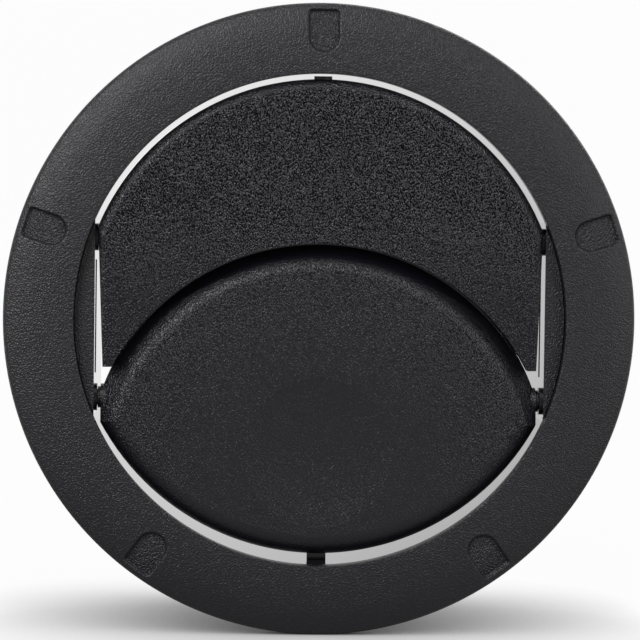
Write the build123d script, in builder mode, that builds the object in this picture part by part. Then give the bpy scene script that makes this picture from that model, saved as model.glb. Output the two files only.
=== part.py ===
from build123d import *
import os
from math import degrees

# A round dashboard air vent with two tilting flaps, in millimetres.
# X points right, Z points up and Y points into the dashboard, so the face looks along -Y.
# The origin lies on the vent's axis, at the front of the panel that the vent is clipped into.

# Bezel ring, which is gripped to turn the vent
mouth_radius = 36.1
mouth_round = 0.5
bezel_width = 10.4
bezel_wall = 2.4
face_drop = 0.4
slope_width = 4.5
slope_drop = 1.7
rim_round = 0.5
skirt_wall = 1.1
skirt_gap = 0.4

# Grip recesses in the bezel, straight at the rim and round towards the mouth
grip_count = 5
grip_length = 6.3
grip_width = 4.6
grip_corner = 0.6
grip_depth = 0.6
grip_rim_distance = 1.0

# Tongues behind the bezel, which hook over the barrel's shoulder
tongue_count = 4
tongue_first_angle = 45.0
tongue_width = 8.0
tongue_hook = 0.8
tongue_hook_length = 1.5
tongue_gap = 0.1
tongue_cover = 0.5

# Barrel, a tube with two flats that turns in the housing and carries the flaps
flat_inset = 3.0
barrel_step = 0.1
barrel_wall = 1.2
barrel_depth = 29.0
land_recess = 1.7
land_seam = 0.15
land_core_wall = 1.2
land_core_height = 15.0
shoulder_height = 1.0
shoulder_width = 1.6
rear_rim_width = 2.0
stop_width = 2.8
stop_length = 2.4
stop_overlap = 0.8
stop_gap = 0.25
guide_pad_height = 16.8
guide_pad_depth = 11.6
guide_pad_start = 2.4
guide_pad_rise = 0.1

# Housing that is clipped into the panel, with a spigot for the air hose
housing_wall = 2.0
housing_depth = 38.0
spigot_length = 18.0
spigot_step = 0.6
flange_thickness = 1.6
bearing_rib_width = 2.0
bearing_gap = 0.2
turning_gap = 0.3
spigot_lead = 0.6
gasket_thickness = 1.0
gasket_margin = 0.5
washer_thickness = 0.8
washer_gap = 0.1

# Snap fingers of the housing, which hold the panel against the gasket
finger_count = 4
finger_first_angle = 45.0
finger_width = 9.0
finger_length = 12.5
finger_slot = 1.0
finger_barb = 1.7
finger_barb_flat = 0.8
panel_thickness = 2.5
panel_slack = 0.3

# Pivots of the flaps
pivot_height = 11.8
pivot_depth = -0.4
pin_radius = 1.2
pin_gap = 0.05
bush_wall = 0.4
bush_length = 1.5
bush_flange_radius = 2.0
bush_flange_thickness = 0.42
bush_press = 0.02
pin_end_gap = 0.1
pin_lead = 0.3
knuckle_radius = 2.0
knuckle_length = 4.0
knuckle_gap = 0.11
collar_radius = 1.6

# Upper flap, a crescent whose lower edge lies in front of the lower flap
flap_gap = 0.75
upper_recess = 0.4
upper_wall = 2.3
flap_round = 2.0
side_round = 1.2
tip_width = 1.3
tip_taper = 0.75
tip_corner = 1.0
meeting_peak = 11.3
edge_round = 0.35
flap_rib_wall = 1.2
flap_rib_height = 1.6
flap_rib_offset = 2.2
flap_rib_spacing = 13.0
nib_width = 2.6
nib_height = 0.4
nib_depth = 0.8

# Lower flap, a pillow-shaped lens whose crown slopes down behind the upper flap
lower_recess = 0.8
lower_skin = 1.8
lower_side_gap = 0.95
lower_side_round = 2.2
lower_gap = 1.5
lower_centre = 2.0
lower_round = 3.0
lip_wall = 1.6
lip_gap = 1.0
lip_lap = 0.7
lip_side_gap = 0.2
crown_gap = 0.25
crown_round = 2.5
pocket_border = 2.4
dish_diameter = 22.0
dish_depth = 0.5
dish_height = -19.5

# Radii and distances from the axis that follow from the sizes above
bezel_radius = mouth_radius + bezel_width
skirt_inner = bezel_radius - skirt_wall
slope_start = bezel_radius - slope_width
flat_half = mouth_radius - flat_inset
barrel_inner = mouth_radius + barrel_step
barrel_outer = barrel_inner + barrel_wall
tongue_inner = barrel_inner + tongue_cover + tongue_gap
shoulder_radius = barrel_outer + shoulder_height
rib_radius = barrel_outer + bearing_gap
bore_radius = shoulder_radius + bearing_gap
housing_radius = bore_radius + housing_wall
spigot_radius = housing_radius - spigot_step
flange_radius = skirt_inner - skirt_gap
bush_radius = pin_radius + pin_gap + bush_wall
upper_radius = mouth_radius - flap_gap
lower_radius = mouth_radius + lower_centre - lower_gap
pivot_side = flat_half - bush_flange_thickness - knuckle_gap
lower_half = flat_half - lower_side_gap
pin_end = flat_half + bush_length - pin_end_gap


def arc_radius(half_width, rise):
    """Radius of an arc that is this high over a chord of twice this half width."""
    return (half_width**2 + rise**2) / (2 * rise)


# Round edges where the flaps meet, with each peak and its half width at the height of the lower pivots
meeting_radius = arc_radius(pivot_side, meeting_peak + pivot_height)
meeting_centre = meeting_peak - meeting_radius
tip_inner = pivot_side - tip_taper - tip_width
tip_height = meeting_centre + (meeting_radius**2 - tip_inner**2) ** 0.5
lip_radius = arc_radius(pivot_side - lip_side_gap, meeting_peak + lip_lap + pivot_height)
lip_centre = meeting_peak + lip_lap - lip_radius
crown_radius = meeting_radius - crown_gap

# Levels along Y that follow from the sizes above, with the panel's front at 0
flange_back = -gasket_thickness
flange_front = flange_back - flange_thickness
bezel_back = flange_front - turning_gap
bezel_face = bezel_back - bezel_wall
land_face = bezel_face + land_recess
rib_back = flange_front + bearing_rib_width
shoulder_front = rib_back + washer_thickness
shoulder_back = shoulder_front + shoulder_width
hook_end = shoulder_back + tongue_gap + tongue_hook_length
upper_face = bezel_face + upper_recess
upper_back = upper_face + upper_wall
lip_front = upper_back + lip_gap
lip_back = lip_front + lip_wall
lower_face = bezel_face + lower_recess
finger_tip = panel_thickness + panel_slack
finger_root = finger_tip + finger_length


def front_plane(depth):
    """The plane across the axis at this depth, drawn as seen from the front."""
    return Plane.XZ.offset(-depth)


def radial_plane(angle):
    """The half plane through the axis at this angle, with the radius along x and the depth along y."""
    return Plane.XY.rotated((0, -angle, 0))


def wall_plane(angle, radius):
    """A plane that touches a cylinder of this radius, with the depth along x and the turn along y."""
    outward = radial_plane(angle).x_dir
    return Plane(origin=outward * radius, x_dir=(0, 1, 0), z_dir=outward)


def polar_angles(count, first_angle):
    """Angles of a ring of like features."""
    return [first_angle + 360.0 * index / count for index in range(count)]


def arc_angle(width, radius):
    """Angle that a width takes up on a circle."""
    return degrees(width / radius)


def bezel_front(level):
    """The bezel's front from the mouth to the rim: a gentle fall that goes on as a steeper slope."""
    face = TangentArc((mouth_radius, level), (slope_start, level + face_drop), tangent=(1, 0))
    slope = TangentArc(face @ 1, (bezel_radius, level + slope_drop), tangent=face % 1)
    return Wire([face, slope])


def disc_section(radius, front, back, rim_round, height):
    """Half section of a disc that has a rounded front rim and its centre at this height."""
    with BuildSketch(Plane.XY.offset(height)) as section:
        with Locations((radius / 2, (front + back) / 2)):
            Rectangle(radius, back - front)
        fillet(section.vertices().sort_by_distance((radius, front, height))[0], radius=rim_round)
    return section.sketch


def flap_axis(height):
    """Line along Y about which a round edge of a flap is turned."""
    return Axis((0, 0, height), (0, 1, 0))


# Bezel ring: a turned front with grip recesses and four hooked tongues behind it
with BuildPart() as grip_recesses:
    with BuildSketch(Plane.XY):
        with BuildLine():
            front_line = bezel_front(bezel_face + grip_depth)
            Polyline(
                front_line @ 1,
                (bezel_radius, bezel_face - bezel_wall),
                (mouth_radius, bezel_face - bezel_wall),
                front_line @ 0,
            )
        make_face()
    revolve(axis=Axis.Y)
    with BuildSketch(front_plane(bezel_back)):
        grip_end = bezel_radius - grip_rim_distance
        grip_bow = grip_end - grip_length + grip_width / 2
        with PolarLocations((grip_end + grip_bow) / 2, grip_count, start_angle=90):
            RectangleRounded(grip_end - grip_bow, grip_width, grip_corner)
        with PolarLocations(grip_bow + grip_corner, grip_count, start_angle=90):
            Rectangle(2 * grip_corner, grip_width)
        with PolarLocations(grip_bow, grip_count, start_angle=90):
            Circle(grip_width / 2)
    extrude(amount=2 * bezel_wall, mode=Mode.INTERSECT)

with BuildPart() as bezel_ring:
    with BuildSketch(Plane.XY) as bezel_section:
        with BuildLine():
            front_line = bezel_front(bezel_face)
            Polyline(
                front_line @ 1,
                (bezel_radius, -skirt_gap),
                (skirt_inner, -skirt_gap),
                (skirt_inner, bezel_back),
                (mouth_radius, bezel_back),
                front_line @ 0,
            )
        make_face()
        fillet(bezel_section.vertices().sort_by_distance((mouth_radius, bezel_face))[0], radius=mouth_round)
        fillet(
            bezel_section.vertices().sort_by_distance((bezel_radius, bezel_face + slope_drop))[0],
            radius=rim_round,
        )
    revolve(axis=Axis.Y)
    add(grip_recesses.part, mode=Mode.SUBTRACT)
    tongue_arc = arc_angle(tongue_width, barrel_outer)
    for angle in polar_angles(tongue_count, tongue_first_angle):
        with BuildSketch(radial_plane(angle + tongue_arc / 2)):
            with BuildLine():
                Polyline(
                    (tongue_inner, bezel_back),
                    (barrel_outer - tongue_gap, bezel_back),
                    (barrel_outer - tongue_gap, shoulder_back + tongue_gap),
                    (barrel_outer + tongue_hook, shoulder_back + tongue_gap),
                    (barrel_outer - tongue_gap, hook_end),
                    (tongue_inner, hook_end),
                    close=True,
                )
            make_face()
        revolve(axis=Axis.Y, revolution_arc=tongue_arc)
bezel_ring.part.label = "bezel_ring"

# Barrel: a tube with two flats, a collar that runs in the housing and the lands beside the mouth
with BuildPart() as barrel:
    with BuildSketch(front_plane(barrel_depth)):
        Circle(barrel_outer)
        Rectangle(2 * (flat_half + barrel_wall), 2 * barrel_outer, mode=Mode.INTERSECT)
    extrude(amount=barrel_depth - bezel_back)
    with BuildSketch(front_plane(shoulder_back)):
        Circle(barrel_outer)
    extrude(amount=shoulder_back - bezel_back)
    with BuildSketch(front_plane(shoulder_back)):
        Circle(shoulder_radius)
    extrude(amount=shoulder_width)
    with BuildSketch(front_plane(barrel_depth)):
        Circle(shoulder_radius)
    extrude(amount=rear_rim_width)
    with BuildSketch(front_plane(bezel_back)):
        Circle(mouth_radius - land_seam)
    extrude(amount=bezel_back - land_face)
    with BuildSketch(front_plane(barrel_depth)):
        Circle(barrel_inner)
        Rectangle(2 * flat_half, 2 * barrel_inner, mode=Mode.INTERSECT)
    extrude(amount=barrel_depth - land_face, mode=Mode.SUBTRACT)
    # The thick lands are cored from behind
    with BuildSketch(front_plane(shoulder_back)):
        Circle(barrel_outer - land_core_wall)
        Rectangle(2 * barrel_outer, land_core_height, mode=Mode.INTERSECT)
        Rectangle(2 * (flat_half + land_core_wall), 2 * barrel_outer, mode=Mode.SUBTRACT)
    extrude(amount=shoulder_back - land_face - land_core_wall, mode=Mode.SUBTRACT)
    # Raised pads on the flats guide the sides of the flaps
    for side in (-1, 1):
        with BuildSketch(front_plane(guide_pad_start + guide_pad_depth)):
            with Locations((side * (flat_half + (barrel_wall - guide_pad_rise) / 2), 0)):
                Rectangle(barrel_wall + guide_pad_rise, guide_pad_height)
        extrude(amount=guide_pad_depth)
    # The stop behind the lower flap closes the gap at the bottom of the mouth
    stop_top = lower_centre - lower_radius + stop_overlap
    stop_foot = -barrel_inner - barrel_wall / 2
    with BuildSketch(front_plane(lip_back + stop_gap + stop_length)):
        with Locations((0, (stop_top + stop_foot) / 2)):
            Rectangle(stop_width, stop_top - stop_foot)
    extrude(amount=stop_length)
    # Seats for the pivot bushes
    with BuildSketch(Plane.YZ):
        with Locations((pivot_depth, pivot_height), (pivot_depth, -pivot_height)):
            Circle(bush_radius + bush_press)
    extrude(amount=flat_half + bush_length + bush_press, both=True, mode=Mode.SUBTRACT)
    # Notches let the bezel's tongues reach behind the shoulder
    notch_arc = arc_angle(tongue_width + 2 * tongue_gap, barrel_outer)
    for angle in polar_angles(tongue_count, tongue_first_angle):
        with BuildSketch(radial_plane(angle + notch_arc / 2)):
            with BuildLine():
                Polyline(
                    (tongue_inner - tongue_gap, bezel_back),
                    (barrel_outer, bezel_back),
                    (barrel_outer, hook_end + tongue_gap),
                    (tongue_inner - tongue_gap, hook_end + tongue_gap),
                    close=True,
                )
            make_face()
        revolve(axis=Axis.Y, revolution_arc=notch_arc, mode=Mode.SUBTRACT)
barrel.part.label = "barrel"

# Housing: flange, bearing rib, body with snap fingers, and the spigot at its rear
with BuildPart() as duct_housing:
    with BuildSketch(Plane.XY) as housing_section:
        with BuildLine():
            Polyline(
                (rib_radius, flange_front),
                (flange_radius, flange_front),
                (flange_radius, flange_back),
                (housing_radius, flange_back),
                (housing_radius, housing_depth - spigot_length),
                (spigot_radius, housing_depth - spigot_length),
                (spigot_radius, housing_depth),
                (bore_radius, housing_depth),
                (bore_radius, rib_back),
                (rib_radius, rib_back),
                close=True,
            )
        make_face()
        chamfer(
            housing_section.vertices().sort_by_distance((spigot_radius, housing_depth))[0],
            length=spigot_lead,
        )
    revolve(axis=Axis.Y)
    for angle in polar_angles(finger_count, finger_first_angle):
        with BuildSketch(wall_plane(angle, bore_radius - housing_wall)):
            with Locations(((finger_tip - finger_slot + finger_root) / 2, 0)):
                Rectangle(finger_length + finger_slot, finger_width + 2 * finger_slot)
            with Locations(((finger_tip + finger_root) / 2, 0)):
                Rectangle(finger_length, finger_width, mode=Mode.SUBTRACT)
        extrude(amount=3 * housing_wall, mode=Mode.SUBTRACT)
    barb_arc = arc_angle(finger_width - finger_slot, housing_radius)
    for angle in polar_angles(finger_count, finger_first_angle):
        with BuildSketch(radial_plane(angle + barb_arc / 2)):
            with BuildLine():
                Polyline(
                    (housing_radius - housing_wall / 2, finger_tip),
                    (housing_radius + finger_barb, finger_tip),
                    (housing_radius + finger_barb, finger_tip + finger_barb_flat),
                    (housing_radius, finger_root),
                    (housing_radius - housing_wall / 2, finger_root),
                    close=True,
                )
            make_face()
        revolve(axis=Axis.Y, revolution_arc=barb_arc)
duct_housing.part.label = "duct_housing"

# Foam gasket between the flange and the panel
with BuildPart() as panel_gasket:
    with BuildSketch(front_plane(0)):
        Circle(flange_radius - gasket_margin)
        Circle(housing_radius + gasket_margin, mode=Mode.SUBTRACT)
    extrude(amount=gasket_thickness)
panel_gasket.part.label = "panel_gasket"

# Friction washer between the bearing rib and the barrel's shoulder
with BuildPart() as friction_washer:
    with BuildSketch(front_plane(shoulder_front)):
        Circle(bore_radius - washer_gap)
        Circle(barrel_outer + washer_gap, mode=Mode.SUBTRACT)
    extrude(amount=washer_thickness)
friction_washer.part.label = "friction_washer"

# Upper flap: a plate with a round top, stiffened behind, with a knuckle and a pin at each side
with BuildPart() as upper_flap:
    revolve(disc_section(upper_radius, upper_face, upper_back, flap_round, 0), axis=flap_axis(0))
    with BuildSketch(front_plane(upper_back)) as upper_outline:
        with BuildLine():
            Polyline(
                (pivot_side, mouth_radius),
                (pivot_side, pivot_height),
                (pivot_side - tip_taper, tip_height),
                (tip_taper - pivot_side, tip_height),
                (-pivot_side, pivot_height),
                (-pivot_side, mouth_radius),
                close=True,
            )
        make_face()
        with Locations((0, meeting_centre)):
            Circle(meeting_radius, mode=Mode.SUBTRACT)
        tip_points = upper_outline.vertices().group_by(Axis.Z)[0].sort_by(Axis.X)
        fillet([tip_points[0], tip_points[-1]], radius=tip_corner)
    extrude(amount=upper_wall, mode=Mode.INTERSECT)
    # The front corners of both sides are rounded, so that they clear the mouth when the flap opens
    with BuildSketch(Plane.XY.offset(tip_height)) as upper_plan:
        with Locations((0, (upper_face + upper_back) / 2)):
            Rectangle(2 * pivot_side, upper_wall)
        fillet(upper_plan.vertices().group_by(Axis.Y)[0], radius=side_round)
    extrude(amount=upper_radius - tip_height, mode=Mode.INTERSECT)
    # Ribs behind the plate: one along the lower edge and three upright ones
    with BuildSketch(front_plane(upper_back + flap_rib_height)):
        with Locations((0, meeting_centre)):
            Circle(meeting_radius + flap_rib_offset + flap_rib_wall)
        with GridLocations(flap_rib_spacing, 1, 3, 1):
            Rectangle(flap_rib_wall, 2 * mouth_radius)
        with Locations((0, meeting_centre)):
            Circle(meeting_radius + flap_rib_offset, mode=Mode.SUBTRACT)
        Circle(upper_radius - flap_round, mode=Mode.INTERSECT)
        with Locations((0, mouth_radius)):
            Rectangle(2 * (pivot_side - knuckle_length), 2 * mouth_radius, mode=Mode.INTERSECT)
    extrude(amount=flap_rib_height)
    # Nib at the middle of the top edge
    with BuildSketch(front_plane(upper_back)):
        with Locations((0, upper_radius)):
            Rectangle(nib_width, 2 * nib_height)
    extrude(amount=nib_depth)
    for side in (-1, 1):
        with BuildSketch(Plane.YZ.offset(side * (pivot_side - knuckle_length))):
            with Locations((pivot_depth, pivot_height)):
                Circle(knuckle_radius)
            with Locations(((upper_back + pivot_depth) / 2, pivot_height)):
                Rectangle(pivot_depth - upper_back, 2 * knuckle_radius)
        extrude(amount=side * knuckle_length)
        with BuildSketch(Plane.YZ.offset(side * pivot_side)):
            with Locations((pivot_depth, pivot_height)):
                Circle(pin_radius)
        extrude(amount=side * (pin_end - pivot_side))
    pin_faces = upper_flap.faces().sort_by(Axis.X)
    chamfer(pin_faces[0].edges() + pin_faces[-1].edges(), length=pin_lead)
upper_flap.part.label = "upper_flap"

# Lower flap: a lens-shaped plate, hollow behind, whose crown slopes down to a lip behind the upper flap
with BuildPart() as lower_flap:
    with BuildSketch(Plane.XY.offset(meeting_centre)) as crown_section:
        crown_slope = lip_front - lower_face
        with BuildLine():
            Polyline(
                (0, lower_face),
                (crown_radius - crown_slope, lower_face),
                (crown_radius, lip_front),
                (crown_radius, lip_back),
                (0, lip_back),
                close=True,
            )
        make_face()
        slope_top = (crown_radius - crown_slope, lower_face, meeting_centre)
        fillet(crown_section.vertices().sort_by_distance(slope_top)[0], radius=crown_round)
    revolve(axis=flap_axis(meeting_centre))
    revolve(
        disc_section(lip_radius, lip_front, lip_back, edge_round, lip_centre),
        axis=flap_axis(lip_centre),
    )
    with BuildSketch(Plane.XY.offset(-mouth_radius)) as lower_plan:
        with Locations((0, (lower_face + lip_back) / 2)):
            Rectangle(2 * lower_half, lip_back - lower_face)
        fillet(lower_plan.vertices().group_by(Axis.Y)[0], radius=lower_side_round)
    extrude(amount=2 * mouth_radius, mode=Mode.INTERSECT)
    revolve(
        disc_section(lower_radius, lower_face, lip_back, lower_round, lower_centre),
        axis=flap_axis(lower_centre),
        mode=Mode.INTERSECT,
    )
    # Hollow behind the skin, with upright ribs left standing
    with BuildSketch(front_plane(lip_back)):
        with Locations((0, meeting_centre)):
            Circle(crown_radius - pocket_border)
        with Locations((0, lower_centre)):
            Circle(lower_radius - pocket_border, mode=Mode.INTERSECT)
        Rectangle(2 * (pivot_side - knuckle_length - pocket_border), 4 * mouth_radius, mode=Mode.INTERSECT)
        with GridLocations(flap_rib_spacing, 1, 3, 1):
            Rectangle(flap_rib_wall, 4 * mouth_radius, mode=Mode.SUBTRACT)
    extrude(amount=lip_back - lower_face - lower_skin, mode=Mode.SUBTRACT)
    # Shallow dish for a finger
    dish_radius = (dish_diameter**2 / 4 + dish_depth**2) / (2 * dish_depth)
    with Locations((0, lower_face + dish_depth - dish_radius, dish_height)):
        Sphere(dish_radius, mode=Mode.SUBTRACT)
    for side in (-1, 1):
        with BuildSketch(Plane.YZ.offset(side * (pivot_side - knuckle_length))):
            with Locations((pivot_depth, -pivot_height)):
                Circle(knuckle_radius)
        extrude(amount=side * (lower_half - pivot_side + knuckle_length))
        with BuildSketch(Plane.YZ.offset(side * lower_half)):
            with Locations((pivot_depth, -pivot_height)):
                Circle(collar_radius)
        extrude(amount=side * (pivot_side - lower_half))
        with BuildSketch(Plane.YZ.offset(side * pivot_side)):
            with Locations((pivot_depth, -pivot_height)):
                Circle(pin_radius)
        extrude(amount=side * (pin_end - pivot_side))
    pin_faces = lower_flap.faces().sort_by(Axis.X)
    chamfer(pin_faces[0].edges() + pin_faces[-1].edges(), length=pin_lead)
lower_flap.part.label = "lower_flap"

pieces = [
    bezel_ring.part,
    barrel.part,
    duct_housing.part,
    panel_gasket.part,
    friction_washer.part,
    upper_flap.part,
    lower_flap.part,
]

# Pivot bushes: flanged sleeves that are pressed into the flats from inside
for row, height in (("upper", pivot_height), ("lower", -pivot_height)):
    for hand, side in (("left", -1), ("right", 1)):
        with BuildPart() as bush:
            with BuildSketch(Plane.YZ.offset(side * (flat_half - bush_flange_thickness))):
                with Locations((pivot_depth, height)):
                    Circle(bush_flange_radius)
            extrude(amount=side * bush_flange_thickness)
            with BuildSketch(Plane.YZ.offset(side * flat_half)):
                with Locations((pivot_depth, height)):
                    Circle(bush_radius)
            extrude(amount=side * bush_length)
            with BuildSketch(Plane.YZ):
                with Locations((pivot_depth, height)):
                    Circle(pin_radius + pin_gap)
            extrude(amount=side * (flat_half + bush_length), mode=Mode.SUBTRACT)
        bush.part.label = f"{row}_{hand}_bush"
        pieces.append(bush.part)

os.makedirs("parts", exist_ok=True)
for piece in pieces:
    export_step(piece, f"parts/{piece.label}.step")
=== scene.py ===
# %% [markdown]
# # A round dashboard air vent
# The vent is a black moulded ring with a mouth that two overlapping flaps close.
# The ring is gripped to turn the whole front, and each flap tilts on two short pins.
# The solids come from the CAD model, which is loaded as a fixed frame in metres.
# This lesson gives them their finishes, remakes the ring with softer edges, and sets up the picture.

# %% Load the frame
import math

import bpy
import numpy as np
from mathutils import Matrix, Vector


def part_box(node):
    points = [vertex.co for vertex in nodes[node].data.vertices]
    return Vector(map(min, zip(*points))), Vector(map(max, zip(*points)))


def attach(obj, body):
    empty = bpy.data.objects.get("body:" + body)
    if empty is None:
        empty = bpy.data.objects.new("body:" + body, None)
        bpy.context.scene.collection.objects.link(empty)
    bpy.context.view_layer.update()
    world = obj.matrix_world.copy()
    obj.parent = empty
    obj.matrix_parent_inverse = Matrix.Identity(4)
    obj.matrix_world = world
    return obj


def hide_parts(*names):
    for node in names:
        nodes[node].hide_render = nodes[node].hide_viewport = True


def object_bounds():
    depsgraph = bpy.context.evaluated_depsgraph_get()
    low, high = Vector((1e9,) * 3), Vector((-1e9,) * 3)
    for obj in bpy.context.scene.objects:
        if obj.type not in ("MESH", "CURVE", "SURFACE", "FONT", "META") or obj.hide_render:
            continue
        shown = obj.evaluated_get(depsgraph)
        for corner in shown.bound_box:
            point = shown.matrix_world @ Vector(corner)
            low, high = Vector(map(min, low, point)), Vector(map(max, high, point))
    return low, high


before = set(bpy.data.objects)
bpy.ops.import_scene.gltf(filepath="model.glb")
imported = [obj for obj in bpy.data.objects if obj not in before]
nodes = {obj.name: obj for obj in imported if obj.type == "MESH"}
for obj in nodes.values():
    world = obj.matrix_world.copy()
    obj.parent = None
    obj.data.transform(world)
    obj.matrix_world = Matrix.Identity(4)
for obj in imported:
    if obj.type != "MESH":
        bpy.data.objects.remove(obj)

MM = 0.001
cad_low, cad_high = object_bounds()
print("CAD box", [round(x / MM, 2) for x in cad_low], [round(x / MM, 2) for x in cad_high])

# %% [markdown]
# ## Helpers for materials
# A colour on a screen is stored on the sRGB curve, and Blender computes with linear light.
# One function turns the hex value into linear numbers, so each colour is written as it is seen.
# The second adds a node, sets what it is given, and links a socket where it is given a socket.
# The third starts an empty material.


# %% Colours and nodes
def linear(hex_colour):
    """Linear red, green, blue and alpha of an sRGB hex colour, by the standard's two-piece curve."""
    channels = np.array([int(hex_colour[i : i + 2], 16) for i in (1, 3, 5)]) / 255
    low, high = channels / 12.92, ((channels + 0.055) / 1.055) ** 2.4
    return (*np.where(channels <= 0.04045, low, high), 1.0)


def add_node(tree, kind, sockets=None, **settings):
    """A new node of this kind, with settings as attributes and sockets as values or links."""
    made = tree.nodes.new(kind)
    for name, value in settings.items():
        setattr(made, name, value)
    for name, value in (sockets or {}).items():
        if isinstance(value, bpy.types.NodeSocket):
            tree.links.new(value, made.inputs[name])
        else:
            made.inputs[name].default_value = value
    return made


def new_material(name):
    """An empty material, its node tree and its output node."""
    material = bpy.data.materials.new(name)
    material.use_nodes = True
    tree = material.node_tree
    tree.nodes.clear()
    return material, tree, add_node(tree, "ShaderNodeOutputMaterial")


print("mid grey in linear light:", round(float(linear("#808080")[0]), 3))

# %% [markdown]
# ## Leather grain
# Ring and flaps are black ABS from a mould with an etched leather grain.
# The grain is a field of small pebbles with creases between them, about half a millimetre apart.
# Real relief would need millions of faces, so the pebbles are a bump, from a noise of that width.
# On the flaps the pebbles are a little taller than they are wide.

# %% Leather grain
ROUND_PEBBLE = (0.23 * MM, 0.23 * MM)
TALL_PEBBLE = (0.18 * MM, 0.26 * MM)
GRAIN_TURN = (0.6, 0.4, 0.9)
GRAIN_FLOOR, GRAIN_TOP = 0.3, 0.7


def leather_height(tree, pebble):
    """Height of a leather grain from 0 to 1: a smooth noise as wide and tall as a pebble, cut off at
    both ends. It is turned out of line with the part, because along its own axes a noise shows its
    lattice."""
    place = add_node(tree, "ShaderNodeTexCoord").outputs["Object"]
    width, tallness = pebble
    turn = {"Vector": place, "Rotation": GRAIN_TURN}
    turn["Scale"] = (1 / width, 1 / width, 1 / tallness)
    askew = add_node(tree, "ShaderNodeMapping", turn).outputs["Vector"]
    wave = {"Vector": askew, "Scale": 1.0, "Detail": 0.0}
    swells = add_node(tree, "ShaderNodeTexNoise", wave).outputs["Fac"]
    limits = {"Value": swells, "From Min": GRAIN_FLOOR, "From Max": GRAIN_TOP}
    return add_node(tree, "ShaderNodeMapRange", limits).outputs["Result"]


print("pebbles in mm:", [[round(side / MM, 2) for side in p] for p in (ROUND_PEBBLE, TALL_PEBBLE)])

# %% [markdown]
# ## Grained ABS
# Each pebble has a side towards the lamps and a side away from them, so the black looks like charcoal.
# The etching reaches only what shows at the front, so deeper in the grain fades into smooth plastic.
# The lower flap's top slopes in behind the upper flap, smooth and so nearly black.
# At the two ends of the lens the slope comes out into the light, and the grain reaches further in.

# %% Grained ABS
ABS_BLACK, ABS_IOR = "#111016", 1.52
LENS_END_EXTRA, LENS_END_BLEND = 2.2 * MM, 4 * MM


def grained_abs(
    name, depth, start, end, behind, roughness=0.4, deeper_below=None, pebble=ROUND_PEBBLE
):
    """Black ABS with a leather grain of this depth, twice as deep where it is pressed in.
    Between a start and an end along the vent's axis, the grain fades into a smooth surface with the
    roughness behind. Well below a height, if one is given, that happens deeper in. Sizes are in
    metres."""
    material, tree, output = new_material(name)
    place = add_node(tree, "ShaderNodeTexCoord").outputs["Object"]
    axes = add_node(tree, "ShaderNodeSeparateXYZ", {"Vector": place}).outputs
    inward = axes["Y"]
    if deeper_below is not None:
        fall = {"Value": axes["Z"], "To Min": LENS_END_EXTRA, "To Max": 0.0}
        fall["From Min"] = deeper_below - LENS_END_BLEND
        fall["From Max"] = deeper_below + LENS_END_BLEND
        extra = add_node(tree, "ShaderNodeMapRange", fall).outputs["Result"]
        shift = {0: inward, 1: extra}
        inward = add_node(tree, "ShaderNodeMath", shift, operation="SUBTRACT").outputs[0]
    fade = {"Value": inward, "From Min": start, "From Max": end}
    grain_fade = fade | {"To Min": 1.0, "To Max": 0.0}
    grain = add_node(tree, "ShaderNodeMapRange", grain_fade).outputs["Result"]
    polish_fade = fade | {"To Min": roughness, "To Max": behind}
    polish = add_node(tree, "ShaderNodeMapRange", polish_fade).outputs["Result"]
    pressed = add_node(tree, "ShaderNodeAttribute", attribute_name="pressed").outputs["Fac"]
    share = add_node(tree, "ShaderNodeMath", {0: pressed, 1: 1.0}, operation="ADD").outputs[0]
    whole = {0: leather_height(tree, pebble), 1: share}
    relief = add_node(tree, "ShaderNodeMath", whole, operation="MULTIPLY").outputs[0]
    swelling = {"Strength": grain, "Height": relief, "Distance": depth}
    bump = add_node(tree, "ShaderNodeBump", swelling)
    look = {"Base Color": linear(ABS_BLACK), "Roughness": polish, "IOR": ABS_IOR}
    shader = add_node(tree, "ShaderNodeBsdfPrincipled", look | {"Normal": bump.outputs[0]})
    tree.links.new(shader.outputs[0], output.inputs["Surface"])
    return material


ring_finish = grained_abs(
    "abs_grained_ring", depth=0.052 * MM, start=-1.0 * MM, end=-0.5 * MM, behind=0.4
)
lower_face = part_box("lower_flap")[0].y
slope_start, slope_end = lower_face + 0.8 * MM, lower_face + 1.4 * MM
lower_finish = grained_abs(
    "abs_grained_lower_flap",
    depth=0.06 * MM,
    start=slope_start,
    end=slope_end,
    behind=0.2,
    roughness=0.3,
    deeper_below=2.0 * MM,
    pebble=TALL_PEBBLE,
)
nodes["lower_flap"].material_slots[0].material = lower_finish
print("grained:", ring_finish.name, lower_finish.name)

# %% [markdown]
# ## Polished ABS
# The barrel's inner wall comes off a polished core, because the core has to slide out of a deep tube.
# Seen at a low angle through the gaps, it mirrors the bright room behind the vent.
# Its two lands beside the mouth have the grain of the front,
# so it is the same finish with a smoother surface just behind the lands.

# %% Polished ABS
land_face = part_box("barrel")[0].y
barrel_finish = grained_abs(
    "abs_polished_bore", depth=0.058 * MM, start=land_face, end=land_face + 0.4 * MM, behind=0.07
)
nodes["barrel"].material_slots[0].material = barrel_finish
print("polished behind", round(land_face / MM, 2), "mm")

# %% [markdown]
# ## Deep creases on the flaps
# The flaps' grain is deep, and its creases get so little light that they look dark.
# A bump doesn't shade itself, so that shade is painted: the creases are made less glossy than the pebbles.
# On the upper flap the grain is shallower towards the two tips, and its rounded rim has no painted shade in
# its creases.
# There the pebbles are also glossier and the creases darker towards the top: a painted highlight and painted
# shade where the light from above falls.
# On the lower flap the grain is deepest along the round edge where the flaps meet,
# and fades towards the bottom. The painted shade in its creases is darkest along that edge too.

# %% Deep creases and painted shade
MEETING_RADIUS, MEETING_HEIGHT = 34.5 * MM, -23.2 * MM
CREASE_FOOT, PEBBLE_SIDE = 0.36, 0.58


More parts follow.
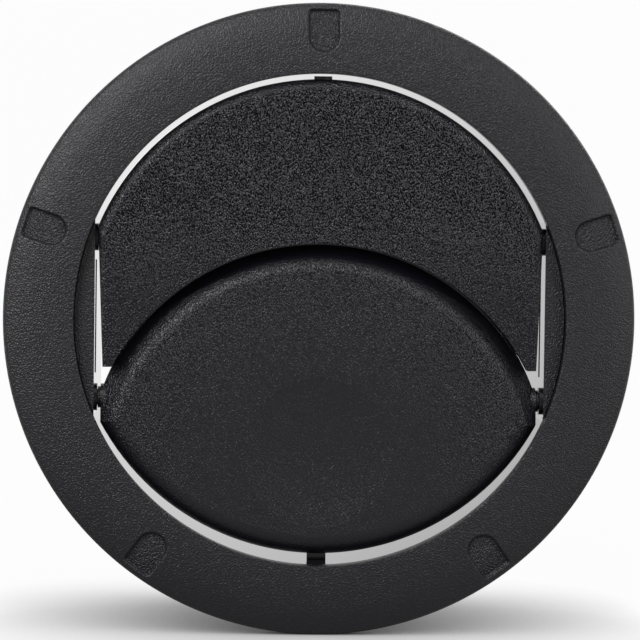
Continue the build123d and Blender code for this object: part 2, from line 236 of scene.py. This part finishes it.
def deepen_and_shade_creases(
    finish, round_edge, reach_ends, depth_ends, crease_shade_ends, pebble_ends, rim_ends
):
    """Grain depth and gloss that change with a reach: the distance from the centre of the round edge
    where the flaps meet, or else the height. The gloss paints shade into the creases, and paints light onto
    the pebbles where it rises. Each pair gives a value at both ends: of the reach, of the depth's share,
    of the gloss in the creases (their painted shade) and on the pebbles, and of the way along the vent's axis
    on which the creases become as glossy as the pebbles, so that the painted shade ends there."""
    tree = finish.node_tree
    place = add_node(tree, "ShaderNodeTexCoord").outputs["Object"]
    axes = add_node(tree, "ShaderNodeSeparateXYZ", {"Vector": place}).outputs
    flatten = {0: place, 1: (1, 0, 1)}
    front_view = add_node(tree, "ShaderNodeVectorMath", flatten, operation="MULTIPLY").outputs[0]
    span = {0: front_view, 1: (0, 0, MEETING_HEIGHT)}
    from_centre = add_node(tree, "ShaderNodeVectorMath", span, operation="DISTANCE").outputs["Value"]
    reach = from_centre if round_edge else axes["Z"]
    change = {"Value": reach, "From Min": reach_ends[0], "From Max": reach_ends[1]}
    changes = [
        add_node(tree, "ShaderNodeMapRange", change | {"To Min": first, "To Max": last})
        for first, last in (depth_ends, crease_shade_ends, pebble_ends)
    ]
    share, painted_crease_shade, shine = [made.outputs["Result"] for made in changes]
    bump = tree.nodes["Bump"]
    whole = {0: bump.inputs["Strength"].links[0].from_socket, 1: share}
    strength = add_node(tree, "ShaderNodeMath", whole, operation="MULTIPLY").outputs[0]
    tree.links.new(strength, bump.inputs["Strength"])
    rim = {"Value": axes["Y"], "From Min": rim_ends[0], "From Max": rim_ends[1]}
    rim |= {"To Min": painted_crease_shade, "To Max": shine}
    crease = add_node(tree, "ShaderNodeMapRange", rim).outputs["Result"]
    height = bump.inputs["Height"].links[0].from_socket
    rise = {"Value": height, "From Min": CREASE_FOOT, "From Max": PEBBLE_SIDE}
    rise |= {"To Min": crease, "To Max": shine}
    gloss = add_node(tree, "ShaderNodeMapRange", rise).outputs["Result"]
    # Painted shade: the creases reflect less than the pebbles, so they render dark.
    tree.links.new(gloss, tree.nodes["Principled BSDF"].inputs["Specular IOR Level"])


upper_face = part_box("upper_flap")[0].y
upper_finish = grained_abs(
    "abs_grained_upper_flap",
    depth=0.1 * MM,
    start=upper_face + 1.6 * MM,
    end=upper_face + 2.1 * MM,
    behind=0.4,
    roughness=0.25,
    pebble=TALL_PEBBLE,
)
nodes["upper_flap"].material_slots[0].material = upper_finish
# Painted shade in the upper flap's creases and a painted highlight on its pebbles, both stronger towards the
# top.
deepen_and_shade_creases(
    upper_finish,
    round_edge=False,
    reach_ends=(2 * MM, 16 * MM),
    depth_ends=(0.6, 1.0),
    crease_shade_ends=(0.2, 0.0),
    pebble_ends=(0.42, 0.63),
    rim_ends=(upper_face + 0.03 * MM, upper_face + 0.3 * MM),
)
# Painted shade in the lower flap's creases, darkest along the edge where the flaps meet.
deepen_and_shade_creases(
    lower_finish,
    round_edge=True,
    reach_ends=(MEETING_RADIUS - 18 * MM, MEETING_RADIUS - 3 * MM),
    depth_ends=(0.6, 1.0),
    crease_shade_ends=(0.46, 0.15),
    pebble_ends=(0.53, 0.6),
    rim_ends=(slope_start, slope_end),
)
print("creased:", upper_finish.name, lower_finish.name)

# %% [markdown]
# ## The plain pieces
# The housing is polypropylene from a spark-eroded mould, which leaves an even satin.
# The bushes are acetal, a slippery plastic that shines a little more.
# The gasket is closed-cell foam, dull and finely pitted, and the washer is pressed felt.
# Each of them is one colour, a roughness and a fine bump whose grit has a real size.

# %% Plain pieces
GRIT_DETAIL = 2.0


def gritty(name, colour, roughness, ior, grit, depth):
    """A plain material with a bump of grains of this size and depth in metres."""
    material, tree, output = new_material(name)
    place = add_node(tree, "ShaderNodeTexCoord").outputs["Object"]
    wave = {"Vector": place, "Scale": 1 / grit, "Detail": GRIT_DETAIL}
    grains = add_node(tree, "ShaderNodeTexNoise", wave).outputs["Fac"]
    bump = add_node(tree, "ShaderNodeBump", {"Height": grains, "Distance": depth})
    look = {"Base Color": linear(colour), "Roughness": roughness, "IOR": ior}
    shader = add_node(tree, "ShaderNodeBsdfPrincipled", look | {"Normal": bump.outputs[0]})
    tree.links.new(shader.outputs[0], output.inputs["Surface"])
    return material


housing_finish = gritty("polypropylene_satin", "#202022", 0.5, 1.49, 0.35 * MM, 0.01 * MM)
bush_finish = gritty("acetal_turned", "#161617", 0.3, 1.48, 0.3 * MM, 0.004 * MM)
foam_finish = gritty("closed_cell_foam", "#2b2b2c", 0.9, 1.4, 0.4 * MM, 0.12 * MM)
felt_finish = gritty("pressed_felt", "#3c3b3a", 0.95, 1.45, 0.25 * MM, 0.08 * MM)
plain_finishes = {name: bush_finish for name in nodes if name.endswith("_bush")}
plain_finishes["duct_housing"] = housing_finish
plain_finishes["panel_gasket"] = foam_finish
plain_finishes["friction_washer"] = felt_finish
for node_name, finish in plain_finishes.items():
    nodes[node_name].material_slots[0].material = finish
print("plain:", ", ".join(sorted(plain_finishes)))

# %% [markdown]
# ## Two helpers for surfaces
# A surface is a grid of points, so its faces are the squares between neighbours on the grid.
# A grid that runs round and meets itself gets its last row joined to its first.


# %% Grids and meshes
def grid_faces(rows, columns, closed_rows=False, closed_columns=False):
    """Corner numbers of the squares of a grid of points that is numbered row by row."""
    i = np.arange(rows if closed_rows else rows - 1)[:, None]
    j = np.arange(columns if closed_columns else columns - 1)[None, :]
    down, right = (i + 1) % rows, (j + 1) % columns
    corners = [i * columns + j, i * columns + right, down * columns + right, down * columns + j]
    return np.stack(np.broadcast_arrays(*corners), axis=-1).reshape(-1, 4)


def mesh_object(name, points, faces, finish):
    """A smooth mesh object at the origin from an array of points and lists of corner numbers."""
    mesh = bpy.data.meshes.new(name)
    mesh.from_pydata(points.tolist(), [], faces)
    mesh.polygons.foreach_set("use_smooth", np.ones(len(mesh.polygons), dtype=bool))
    mesh.materials.append(finish)
    mesh.update()
    made = bpy.data.objects.new(name, mesh)
    bpy.context.scene.collection.objects.link(made)
    return made


print("a grid of 3 by 4 points has", len(grid_faces(3, 4)), "squares")

# %% [markdown]
# ## The grip ring: its section
# The ring's front is gently domed: it falls a little from the mouth and then more steeply to the rim.
# The CAD solid has this front too, with crisp edges, and a Bevel modifier would soften them,
# but it breaks down where a recess runs out on the dome.
# So the section is worked out anew, as a fall that depends on the radius, in millimetres.
# Each part of it is a piece of a circle, and so are the rounded edges at the mouth and the rim.

# %% Ring section
MOUTH, SLOPE_START, RIM = 36.1, 42.0, 46.5
FACE, FACE_DROP, SLOPE_DROP = -5.3, 0.4, 1.7
MOUTH_ROUND, RIM_ROUND = 0.15, 0.7

face_run = SLOPE_START - MOUTH
face_circle = (face_run**2 + FACE_DROP**2) / (2 * FACE_DROP)
tilt = math.asin(face_run / face_circle)
slope_chord = complex(RIM - SLOPE_START, SLOPE_DROP - FACE_DROP)
chord_tilt = math.atan2(slope_chord.imag, slope_chord.real)
slope_circle = abs(slope_chord) / (2 * math.sin(chord_tilt - tilt))
slope_apex = SLOPE_START - slope_circle * math.sin(tilt)


def circle_fall(run, radius):
    """How far a circle has fallen after a run from its top: radius less the root of radius² less run²."""
    return radius - np.sqrt(radius**2 - np.clip(run, 0, radius) ** 2)


def front_fall(radius):
    """Fall of the ring's front at a radius: a wide circle, then a tighter one that goes on with its
    tilt, with a quarter circle at each edge."""
    face = circle_fall(np.minimum(radius, SLOPE_START) - MOUTH, face_circle)
    slope = circle_fall(np.maximum(radius, SLOPE_START) - slope_apex, slope_circle)
    edges = circle_fall(MOUTH + MOUTH_ROUND - radius, MOUTH_ROUND)
    edges = edges + circle_fall(radius - RIM + RIM_ROUND, RIM_ROUND)
    return face + slope - circle_fall(SLOPE_START - slope_apex, slope_circle) + edges


FINE_FROM, ROUND_POINTS, COARSE_POINTS, FINE_POINTS = 38.9, 11, 8, 69
turn = np.linspace(0, np.pi / 2, ROUND_POINTS)
radii = np.concatenate(
    [
        MOUTH + MOUTH_ROUND * (1 - np.cos(turn)),
        np.linspace(MOUTH + MOUTH_ROUND, FINE_FROM, COARSE_POINTS)[1:-1],
        np.linspace(FINE_FROM, RIM - RIM_ROUND, FINE_POINTS)[:-1],
        RIM - RIM_ROUND * (1 - np.sin(turn)),
    ]
)
print("front of", len(radii), "points, falls", round(float(front_fall(radii).max()), 2), "mm")

# %% [markdown]
# ## The grip ring: recesses
# Five recesses let the fingers turn the ring. Each is straight towards the rim and round towards the mouth.
# A signed distance to that outline, negative inside, is turned into a depth by a smooth step,
# so the walls are soft at the top and at the foot, as in the moulding.
# The angles stand close together at the recesses and wide apart between them.

# %% Recesses
GRIP_END, GRIP_BOW, GRIP_HALF, GRIP_CORNER, GRIP_DEPTH = 45.5, 41.5, 2.3, 0.6, 0.6
WALL_RUN, WALL_FOOT = 0.5, 0.25
FIRST_GRIP, GRIP_PITCH, GRIP_COUNT = 90, 72, 5
GRIP_REACH, GRIP_STEPS, PLAIN_STEP = 4.9, 79, 1.5


def grip_distance(along, across):
    """Distance to a recess's outline: a circle's towards the mouth, a rounded box's towards the rim."""
    bow = np.hypot(along - GRIP_BOW, across) - GRIP_HALF
    past_end = along - GRIP_END + GRIP_CORNER
    past_side = np.abs(across) - GRIP_HALF + GRIP_CORNER
    outside = np.hypot(np.maximum(past_end, 0), np.maximum(past_side, 0))
    box = outside + np.minimum(np.maximum(past_end, past_side), 0) - GRIP_CORNER
    return np.where(along < GRIP_BOW, bow, box)


def from_nearest_grip(degrees):
    """Angle from the middle of the nearest recess, in degrees."""
    return (degrees - FIRST_GRIP + GRIP_PITCH / 2) % GRIP_PITCH - GRIP_PITCH / 2


grips = FIRST_GRIP + GRIP_PITCH * np.arange(GRIP_COUNT)
plain_angles = np.arange(0, 360, PLAIN_STEP)
plain_angles = plain_angles[np.abs(from_nearest_grip(plain_angles)) > GRIP_REACH]
grip_angles = grips[:, None] + np.linspace(-GRIP_REACH, GRIP_REACH, GRIP_STEPS)
angles = np.concatenate([plain_angles, grip_angles.ravel()])
angles = np.radians(np.sort(angles % 360))[:, None]
from_grip = np.radians(from_nearest_grip(np.degrees(angles)))
outline = grip_distance(radii * np.cos(from_grip), radii * np.sin(from_grip))
step = np.clip(WALL_FOOT - outline / WALL_RUN, 0, 1)
pressed = step**2 * (3 - 2 * step)
print("recesses of", len(grips), "on", len(angles), "angles")

# %% [markdown]
# ## The grip ring: its surface
# At each angle the front's section is closed by a skirt round the rim and a flat back,
# and the sections are carried round the vent's axis into a closed ring.
# Four tongues behind the ring hook over the barrel, and each is a small section turned through a short angle.

# %% Ring and tongues
RING_BACK, SKIRT_END, SKIRT_INNER = -2.9, -0.4, 45.4
TONGUE_COUNT, TONGUE_REACH, TONGUE_STEPS = 4, 6.128, 13
HOOK = [(36.8, -3.2), (37.3, -3.2), (37.3, 1.9), (38.2, 1.9), (37.3, 3.4), (36.8, 3.4)]


def turned(profile, angles):
    """Points of a section turned about the vent's axis: the radius goes round, and the depth stays."""
    radius, depth = profile[..., 0], profile[..., 1]
    return np.stack([radius * np.cos(angles), depth, radius * np.sin(angles)], axis=-1)


depths = FACE + front_fall(radii) + GRIP_DEPTH * pressed
front = np.stack([np.broadcast_to(radii, pressed.shape), depths], axis=-1)
corners = np.array(
    [(RIM, SKIRT_END), (SKIRT_INNER, SKIRT_END), (SKIRT_INNER, RING_BACK), (MOUTH, RING_BACK)]
)
back = np.broadcast_to(corners, (len(angles), *corners.shape))
section = np.concatenate([front, back], axis=1)
ring_points = turned(section, angles).reshape(-1, 3)
ring_faces = grid_faces(*section.shape[:2], closed_rows=True, closed_columns=True)
floor_of_grip = np.pad(pressed, ((0, 0), (0, len(corners)))).ravel()

hook = np.array(HOOK)
middles = np.radians(45 + 90 * np.arange(TONGUE_COUNT))[:, None, None]
swing = np.radians(np.linspace(-TONGUE_REACH, TONGUE_REACH, TONGUE_STEPS))[:, None]
hooks = np.broadcast_to(hook, (TONGUE_COUNT, TONGUE_STEPS, *hook.shape))
tongue_points = turned(hooks, swing + middles).reshape(-1, 3)
per_tongue = TONGUE_STEPS * len(hook)
starts = len(ring_points) + per_tongue * np.arange(TONGUE_COUNT)[:, None]
one_tongue = grid_faces(TONGUE_STEPS, len(hook), closed_columns=True)
tongue_faces = (starts[:, :, None] + one_tongue).reshape(-1, 4)
end_cap = np.arange(len(hook))
tongue_ends = np.concatenate([starts + end_cap[::-1], starts + per_tongue - len(hook) + end_cap])
print("ring of", len(ring_faces), "squares, tongues of", len(tongue_faces))

# %% [markdown]
# ## The grip ring: its object
# One mesh holds the ring and its tongues, and it takes the place of the CAD model's ring.
# Its edges stay sharp where they turn by more than 50 degrees, as at the skirt.
# An attribute marks the floors of the recesses, where the material's grain is deeper.

# %% Ring object
SHARP_FROM = math.radians(50)
ring = mesh_object(
    "grip_ring",
    np.concatenate([ring_points, tongue_points]) * MM,
    ring_faces.tolist() + tongue_faces.tolist() + tongue_ends.tolist(),
    ring_finish,
)
ring.data.set_sharp_from_angle(angle=SHARP_FROM)
grain_depth = ring.data.attributes.new("pressed", "FLOAT", "POINT")
grain_depth.data.foreach_set("value", np.pad(floor_of_grip, (0, len(tongue_points))))
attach(ring, "turning_barrel")
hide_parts("bezel_ring")
print("ring of", len(ring.data.polygons), "faces")

# %% [markdown]
# ## Stage
# The vent stands on a pale paper sweep in a bright, soft room.
# The paper shows white to the camera, and darker close to the vent, where the vent shuts out the room.
# Behind the vent it is white to mirrors too, because the polished bore mirrors it.
# The floor in front stays as the lamps light it, since a white floor would grey the black front.

# %% Stage
PAPER, PAPER_WHITE, SHADOW_REACH = "#a8a8a6", 0.97, 0.03
HALF_WIDTH, SHEET_COLUMNS, SHEET_END = 3.0, 7, 3.0
PAPER_JOIN, COVE_START, COVE_RADIUS, COVE_POINTS = 0.06, 0.9, 0.5, 17


def pale_paper(name, colour, share, seen_by):
    """Lit paper with this share of white where one of these kinds of ray meets it. The white is
    dimmed by how much of the sky above it other things hide within the shadow's reach."""
    material, tree, output = new_material(name)
    lit = add_node(tree, "ShaderNodeBsdfDiffuse", {"Color": linear(colour)}).outputs[0]
    path = add_node(tree, "ShaderNodeLightPath").outputs
    seen = path[seen_by[0]]
    for kind in seen_by[1:]:
        either = {0: seen, 1: path[kind]}
        seen = add_node(tree, "ShaderNodeMath", either, operation="MAXIMUM").outputs[0]
    part = add_node(tree, "ShaderNodeMath", {0: seen, 1: share}, operation="MULTIPLY").outputs[0]
    reach = {"Distance": SHADOW_REACH}
    shade = add_node(tree, "ShaderNodeAmbientOcclusion", reach).outputs["Color"]
    white = add_node(tree, "ShaderNodeEmission", {"Color": shade, "Strength": 1.0}).outputs[0]
    shown = add_node(tree, "ShaderNodeMixShader", {0: part, 1: lit, 2: white}).outputs[0]
    tree.links.new(shown, output.inputs["Surface"])
    return material


def paper_sheet(name, depth, height, finish):
    """A wide sheet whose side view is a line of depths and heights in metres."""
    across = np.linspace(-HALF_WIDTH, HALF_WIDTH, SHEET_COLUMNS)[:, None]
    points = np.stack(np.broadcast_arrays(across, depth[None, :], height[None, :]), axis=-1)
    faces = grid_faces(SHEET_COLUMNS, len(depth))
    return mesh_object(name, points.reshape(-1, 3), faces.tolist(), finish)


floor_level = cad_low.z
bend = np.linspace(0, np.pi / 2, COVE_POINTS)
wall_depth = COVE_START + COVE_RADIUS * np.append(np.sin(bend), 1)
wall_height = np.append(COVE_RADIUS * (1 - np.cos(bend)), SHEET_END)
floor = paper_sheet(
    "paper_floor",
    np.array([-SHEET_END, 0.0, PAPER_JOIN]),
    np.full(3, floor_level),
    pale_paper("pale_paper_floor", PAPER, PAPER_WHITE, ["Is Camera Ray"]),
)
backdrop = paper_sheet(
    "paper_backdrop",
    np.append(PAPER_JOIN, wall_depth),
    floor_level + np.append(0, wall_height),
    pale_paper(
        "pale_paper_backdrop",
        PAPER,
        PAPER_WHITE,
        ["Is Camera Ray", "Is Glossy Ray", "Is Transmission Ray"],
    ),
)
print("floor at", round(floor_level / MM, 2), "mm")

# %% [markdown]
# ## World and lamps
# The room itself is dim, and white where the camera sees past the paper.
# A large lamp at the upper left gives the grain its light and dark sides and lets the upper rims shine.
# A wide one at the right lights the other side, weak ones overhead and at the left fill in,
# and one behind the vent shows the housing.

# %% World and lamps
ROOM_LIGHT = 0.24
LAMPS = {
    "upper_left": ((-0.6, -0.75, 0.6), 0.7, 0.7, 9.0),
    "overhead": ((0.1, -0.45, 0.8), 1.0, 0.6, 2.2),
    "right": ((0.85, -0.6, 0.1), 1.0, 1.1, 6.2),
    "left": ((-0.9, -0.5, -0.02), 0.5, 0.5, 1.2),
    "behind": ((0.5, 0.9, 0.7), 0.9, 0.9, 6.0),
}


def soft_lamp(name, place, width, height, power):
    """A rectangular lamp at a place in metres, turned towards the vent, with its power in watts."""
    data = bpy.data.lights.new(name, "AREA")
    data.shape, data.size, data.size_y, data.energy = "RECTANGLE", width, height, power
    lamp = bpy.data.objects.new(name, data)
    towards_vent = (-Vector(place)).to_track_quat("-Z", "Y").to_matrix().to_4x4()
    lamp.matrix_world = Matrix.Translation(place) @ towards_vent
    bpy.context.scene.collection.objects.link(lamp)


world = bpy.data.worlds.new("soft_room")
bpy.context.scene.world = world
world.use_nodes = True
sky = world.node_tree
sky.nodes.clear()
camera_ray = add_node(sky, "ShaderNodeLightPath").outputs["Is Camera Ray"]
dim, white = [
    add_node(sky, "ShaderNodeBackground", {"Color": linear("#ffffff"), "Strength": strength})
    for strength in (ROOM_LIGHT, 1.0)
]
seen_room = {0: camera_ray, 1: dim.outputs[0], 2: white.outputs[0]}
room = add_node(sky, "ShaderNodeMixShader", seen_room)
add_node(sky, "ShaderNodeOutputWorld", {"Surface": room.outputs[0]})
for lamp_name, setting in LAMPS.items():
    soft_lamp(lamp_name, *setting)
bpy.context.scene.view_settings.view_transform = "Standard"
print("lamps:", ", ".join(LAMPS))

# %% [markdown]
# ## Camera
# The picture was taken from in front, a little from the left and from above, with a long lens.
# The ring nearly fills the square frame and is turned a little clockwise.
# The lens follows from the ring's radius in the picture and the distance.

# %% Camera
IMAGE_SIZE, RIM_PIXELS = 640, 315.9
CAMERA_DISTANCE, SENSOR_WIDTH = 0.42, 36.0
azimuth, elevation, roll = math.radians(-2.5), math.radians(2.5), math.radians(0.75)

target = Vector((0, cad_low.y / 2, 0))
away = Vector(
    (
        math.sin(azimuth) * math.cos(elevation),
        -math.cos(azimuth) * math.cos(elevation),
        math.sin(elevation),
    )
)
camera_data = bpy.data.cameras.new("photo_camera")
camera_data.sensor_width = SENSOR_WIDTH
rim_on_sensor = RIM_PIXELS / IMAGE_SIZE * SENSOR_WIDTH
camera_data.lens = rim_on_sensor * CAMERA_DISTANCE / cad_high.x
camera_data.clip_start, camera_data.clip_end = 0.01, 20.0
camera = bpy.data.objects.new("photo_camera", camera_data)
bpy.context.scene.collection.objects.link(camera)
facing = (-away).to_track_quat("-Z", "Y").to_matrix().to_4x4() @ Matrix.Rotation(roll, 4, "Z")
camera.matrix_world = Matrix.Translation(target + away * CAMERA_DISTANCE) @ facing
bpy.context.scene.camera = camera
print("lens", round(camera_data.lens, 1), "mm")
